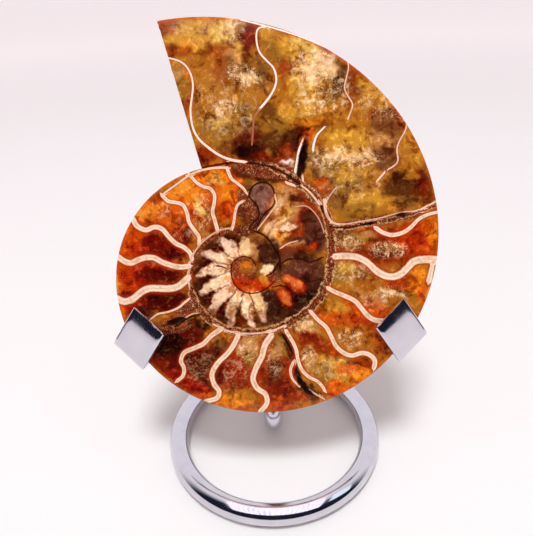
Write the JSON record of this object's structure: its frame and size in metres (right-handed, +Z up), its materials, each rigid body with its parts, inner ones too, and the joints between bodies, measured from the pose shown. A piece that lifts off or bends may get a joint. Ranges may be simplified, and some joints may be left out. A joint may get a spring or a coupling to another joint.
{
  "type": "ammonite fossil half",
  "caption": "Sawn and polished half of an ammonite, leaning back in the folded arms of a small chromed stand with a ring base.",
  "frame": {"origin": "on the table under the middle of the whole object's box", "axes": "+Z up, the longest way; -Y towards the viewer, the way the polished face looks; +X to the viewer's right"},
  "size_m": [0.0802, 0.0646, 0.1094],
  "materials": {
    "fossil": "polished on the cut face, satin shell behind",
    "chrome": "bright chrome plate"
  },
  "bodies": {
    "root": {"ammonite_half": "fossil", "base_ring": "chrome", "post": "chrome", "arm_left": "chrome", "arm_right": "chrome"}
  },
  "joints": []
}
